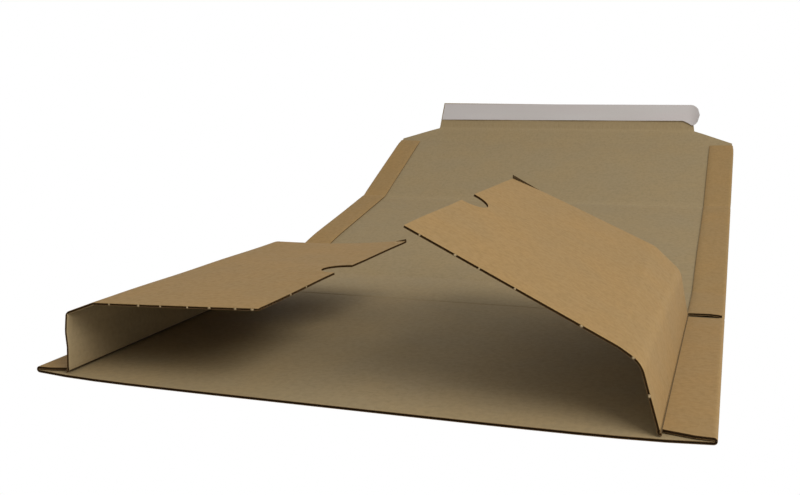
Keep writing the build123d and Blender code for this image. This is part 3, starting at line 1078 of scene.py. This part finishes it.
def front_spots(maker, side, places):
    """Where the nicks sit on a wing's front edge, found on its own section."""
    line = maker(np.array([WING_FRONT_Y, WING_FRONT_Y + 1 * MM])).points[0]
    spots = []
    for place in places:
        x = side * place * MM
        order = np.argsort(line[:, 0])
        at = int(np.clip(np.searchsorted(line[order, 0], x), 1, len(order) - 1))
        low, high = line[order[at - 1]], line[order[at]]
        share = (x - low[0]) / (high[0] - low[0])
        centre = low + (high - low) * share
        along = Vector(high - low).normalized()
        out = Vector((0, -1, 0))
        spots.append((centre, along, out, along.cross(out)))
    return spots


def free_spots(maker, places):
    """Where the nicks sit on a wing's free edge."""
    spots = []
    for place in places:
        line = maker(np.array([place * MM, (place + 1) * MM])).points[0]
        inward = Vector(line[-1] - line[-2]).normalized()
        spots.append((line[-1], Vector((0, 1, 0)), inward, Vector((0, 1, 0)).cross(inward)))
    return spots


# Release liner on the tongue

def make_release_liner():
    """The paper band over the adhesive, with its tab curling past the right-hand end of the tongue."""
    out = np.array([0.0, -TONGUE_UP[2], TONGUE_UP[1]])
    root = np.array([0.0, TONGUE_ROOT_Y, TONGUE_ROOT_Z])
    half_top = TONGUE_HALF_TOP - LINER_SIDE_MARGIN
    low = TONGUE_LENGTH * MM - LINER_WIDTH
    high = TONGUE_LENGTH * MM
    half_low = half_top + (TONGUE_HALF - TONGUE_HALF_TOP) * LINER_WIDTH / (TONGUE_LENGTH * MM)
    tab_tip = half_top + TAB_LENGTH
    body = np.linspace(-half_low, half_low - TAB_LENGTH, LINER_COLUMNS)
    tab = tab_tip - (tab_tip - body[-1]) * np.cos(np.radians(np.linspace(0, 90, TAB_COLUMNS)))
    columns = np.unique(np.concatenate([body, tab]))
    middle_height = (low - TAB_DROOP + high) / 2
    past_top = np.clip((columns - half_top) / TAB_LENGTH, 0, 1)
    top = high - (high - middle_height) * (1 - np.sqrt(np.clip(1 - past_top**2, 0, 1)))
    past_low = np.clip((columns - (half_low - TAB_LENGTH)) / TAB_LENGTH, 0, 1)
    bottom = low - TAB_DROOP * past_low**TAB_DROOP_POWER
    round_off = np.clip((columns - half_low) / (tab_tip - half_low), 0, 1)
    bottom = bottom + (middle_height - bottom) * (1 - np.sqrt(np.clip(1 - round_off**2, 0, 1)))
    shares = np.linspace(0, 1, LINER_ROWS)[:, None]
    x = np.broadcast_to(columns, (LINER_ROWS, len(columns))).copy()
    left_lean = (half_low - half_top) * shares
    x += left_lean * np.clip(-columns / half_low, 0, 1) ** LINER_END_POWER
    climb = bottom + (top - bottom) * shares
    climb = climb - tongue_shortfall(x, climb)
    cockles = COCKLE_HEIGHT * (1 - shares) ** 2 * (COCKLE_BASE + np.sin(x * COCKLE_WAVES + COCKLE_PHASE))
    off_end = np.clip((x - half_low + TAB_LIFT_START) / TAB_LENGTH, 0, TAB_LIFT_LIMIT)
    lift = (ADHESIVE + LINER_PAPER) + cockles + TAB_LIFT * off_end**2
    points = root + x[..., None] * np.array([1.0, 0, 0]) + climb[..., None] * TONGUE_UP
    points = points + (BOARD + lift)[..., None] * out
    build = Build()
    middle = Middle(points, x, climb, 0.0, 1.0)
    build.shell(middle, middle.normals(), -LINER_PAPER / 2, LINER_PAPER / 2, all_cells(middle), (0, 0, 0))
    made = build.mesh_object("release_liner_band", (release_paper("release_paper"),))
    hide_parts("release_liner")
    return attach(made, "flap")


# Stage, light and camera

def make_floor():
    """A white floor that lights the pack from below, and is plain white to the camera."""
    corners = [(-1, -1), (1, -1), (1, 1), (-1, 1)]
    mesh = bpy.data.meshes.new("floor")
    mesh.from_pydata([(FLOOR_HALF * x, FLOOR_HALF * y, FLOOR_DEPTH) for x, y in corners], [], [(0, 1, 2, 3)])
    material, tree, shader = empty_material("floor", roughness=0.9, specular=0.1)
    shader.inputs["Base Color"].default_value = FLOOR_COLOUR
    glow = node(tree, "ShaderNodeEmission", {"Color": (1.0, 1.0, 1.0, 1.0), "Strength": 1.0})
    camera_ray = node(tree, "ShaderNodeLightPath").outputs["Is Camera Ray"]
    mix = node(tree, "ShaderNodeMixShader", {0: camera_ray, 1: shader.outputs[0], 2: glow.outputs[0]})
    output = tree.nodes["Material Output"]
    tree.links.new(mix.outputs[0], output.inputs["Surface"])
    mesh.materials.append(material)
    placed("floor", mesh)


def make_light():
    """A plain bright sky, white to the camera, and one large soft lamp from the right."""
    world = bpy.data.worlds.new("sky")
    world.use_nodes = True
    tree = world.node_tree
    background = tree.nodes["Background"]
    background.inputs["Color"].default_value = (1.0, 1.0, 1.0, 1.0)
    rays = node(tree, "ShaderNodeLightPath")
    seen = math_node(tree, "MAXIMUM", rays.outputs["Is Camera Ray"], rays.outputs["Is Glossy Ray"])
    strength = ranged(tree, seen, 0.0, 1.0, SKY_STRENGTH, 1.0)
    tree.links.new(strength, background.inputs["Strength"])
    bpy.context.scene.world = world
    lamp = bpy.data.lights.new("key", "AREA")
    lamp.shape = "RECTANGLE"
    lamp.size, lamp.size_y = KEY_SIZE
    lamp.energy = KEY_POWER
    lamp.color = KEY_COLOUR
    holder = placed("key", lamp)
    holder.location = KEY_PLACE
    holder.rotation_euler = (Vector(KEY_TARGET) - Vector(KEY_PLACE)).to_track_quat("-Z", "Y").to_euler()


def make_camera():
    yaw, pitch, roll = (math.radians(a) for a in (CAMERA_YAW, CAMERA_PITCH, CAMERA_ROLL))
    forward = Vector((-math.sin(yaw) * math.cos(pitch), math.cos(yaw) * math.cos(pitch), -math.sin(pitch)))
    level = Vector((math.cos(yaw), math.sin(yaw), 0))
    upright = level.cross(forward)
    right = level * math.cos(roll) + upright * math.sin(roll)
    up = upright * math.cos(roll) - level * math.sin(roll)
    data = bpy.data.cameras.new("camera")
    data.lens = CAMERA_LENS
    data.sensor_width = 36.0
    data.clip_start = 0.01
    camera = placed("camera", data)
    turn = Matrix((right, up, -forward)).transposed().to_4x4()
    camera.matrix_world = Matrix.Translation(Vector(CAMERA_PLACE)) @ turn
    bpy.context.scene.camera = camera


bpy.context.scene.view_settings.view_transform = "Standard"
make_camera()
make_light()
make_floor()

left_maker = wing_maker(-1, LEFT_FRONT, LEFT_FAR, LEFT_RADII, LEFT_STEPS, LEFT_EAR, left_sag)
right_maker = wing_maker(1, RIGHT_FRONT, RIGHT_FAR, RIGHT_RADII, RIGHT_STEPS, RIGHT_EAR, right_droop)
make_pocket()
make_wing("left_wing_board", "left_wing", "wing_left", left_maker)
make_wing("right_wing_board", "right_wing", "wing_right", right_maker)
make_flap()
make_wing_crease(-1, "left_wing_crease")
make_wing_crease(1, "right_wing_crease")
make_fold()
left_spots = front_spots(left_maker, -1, LEFT_NICKS) + free_spots(left_maker, LEFT_FREE_NICKS)
make_nicks("left_wing_nicks", "wing_left", left_spots)
make_nicks("right_wing_nicks", "wing_right", front_spots(right_maker, 1, RIGHT_NICKS))
make_release_liner()

glue = frame["nodes"]["adhesive_strip"]
glue_material = hot_melt("hot_melt")
for material_slot in glue.material_slots:
    material_slot.material = glue_material
